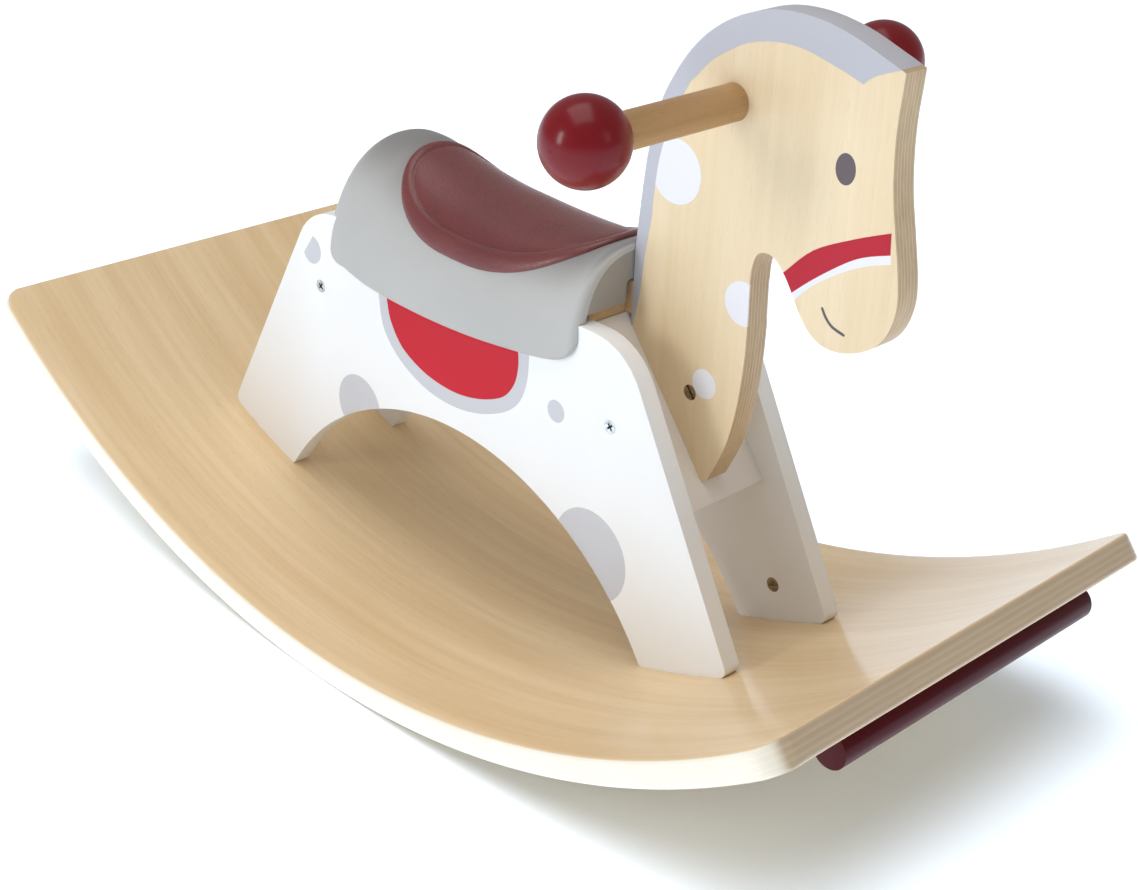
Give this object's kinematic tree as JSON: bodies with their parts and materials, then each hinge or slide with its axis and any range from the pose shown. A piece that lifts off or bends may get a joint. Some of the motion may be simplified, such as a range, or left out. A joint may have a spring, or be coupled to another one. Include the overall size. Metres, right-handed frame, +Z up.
{
  "type": "rocking horse",
  "caption": "Wooden rocking horse: plywood head with a ball-ended handle bar, arched side panels and a moulded padded saddle on a bent plywood rocker board.",
  "frame": {"origin": "on the floor under the middle of the rocker board", "axes": "+X towards the horse's head, along the board; +Y towards the horse's left side; +Z up"},
  "size_m": [0.7824, 0.35, 0.4655],
  "materials": {
    "board_ply": "clear lacquer, semi-gloss",
    "head_ply": "clear lacquer, satin, with painted markings",
    "plate_wood": "clear lacquer, satin",
    "dowel_wood": "bare, fluted",
    "bar_beech": "clear lacquer, satin",
    "panel_paint": "white paint, satin",
    "brace_paint": "off-white paint, satin",
    "bar_paint": "dark red paint, semi-gloss",
    "knob_paint": "dark red paint, gloss",
    "saddle_grey": "matt moulded plastic",
    "saddle_red": "satin moulded foam skin",
    "zinc_steel": "zinc plated",
    "nut_brass": "dull yellow zinc"
  },
  "bodies": {
    "root": {"rocker_board": "board_ply", "front_stop_bar": "bar_paint", "rear_stop_bar": "bar_paint", "stop_bar_screws": "zinc_steel", "right_side_panel": "panel_paint", "left_side_panel": "panel_paint", "front_brace": "brace_paint", "rear_brace": "brace_paint", "brace_dowels": "dowel_wood", "panel_screws": "zinc_steel", "leg_dowels": "dowel_wood", "leg_bolts": "zinc_steel", "leg_bolt_washers": "zinc_steel", "leg_barrel_nuts": "nut_brass", "seat_plate": "plate_wood", "seat_plate_screws": "zinc_steel", "neck_block": "plate_wood", "neck_block_screw": "zinc_steel", "head": "head_ply", "neck_dowels": "dowel_wood", "neck_bolt": "zinc_steel", "neck_bolt_washer": "zinc_steel", "neck_barrel_nut": "nut_brass", "handle_bar": "bar_beech", "right_knob": "knob_paint", "left_knob": "knob_paint", "saddle_shell": "saddle_grey", "saddle_pad": "saddle_red", "saddle_screws": "zinc_steel"}
  },
  "joints": []
}
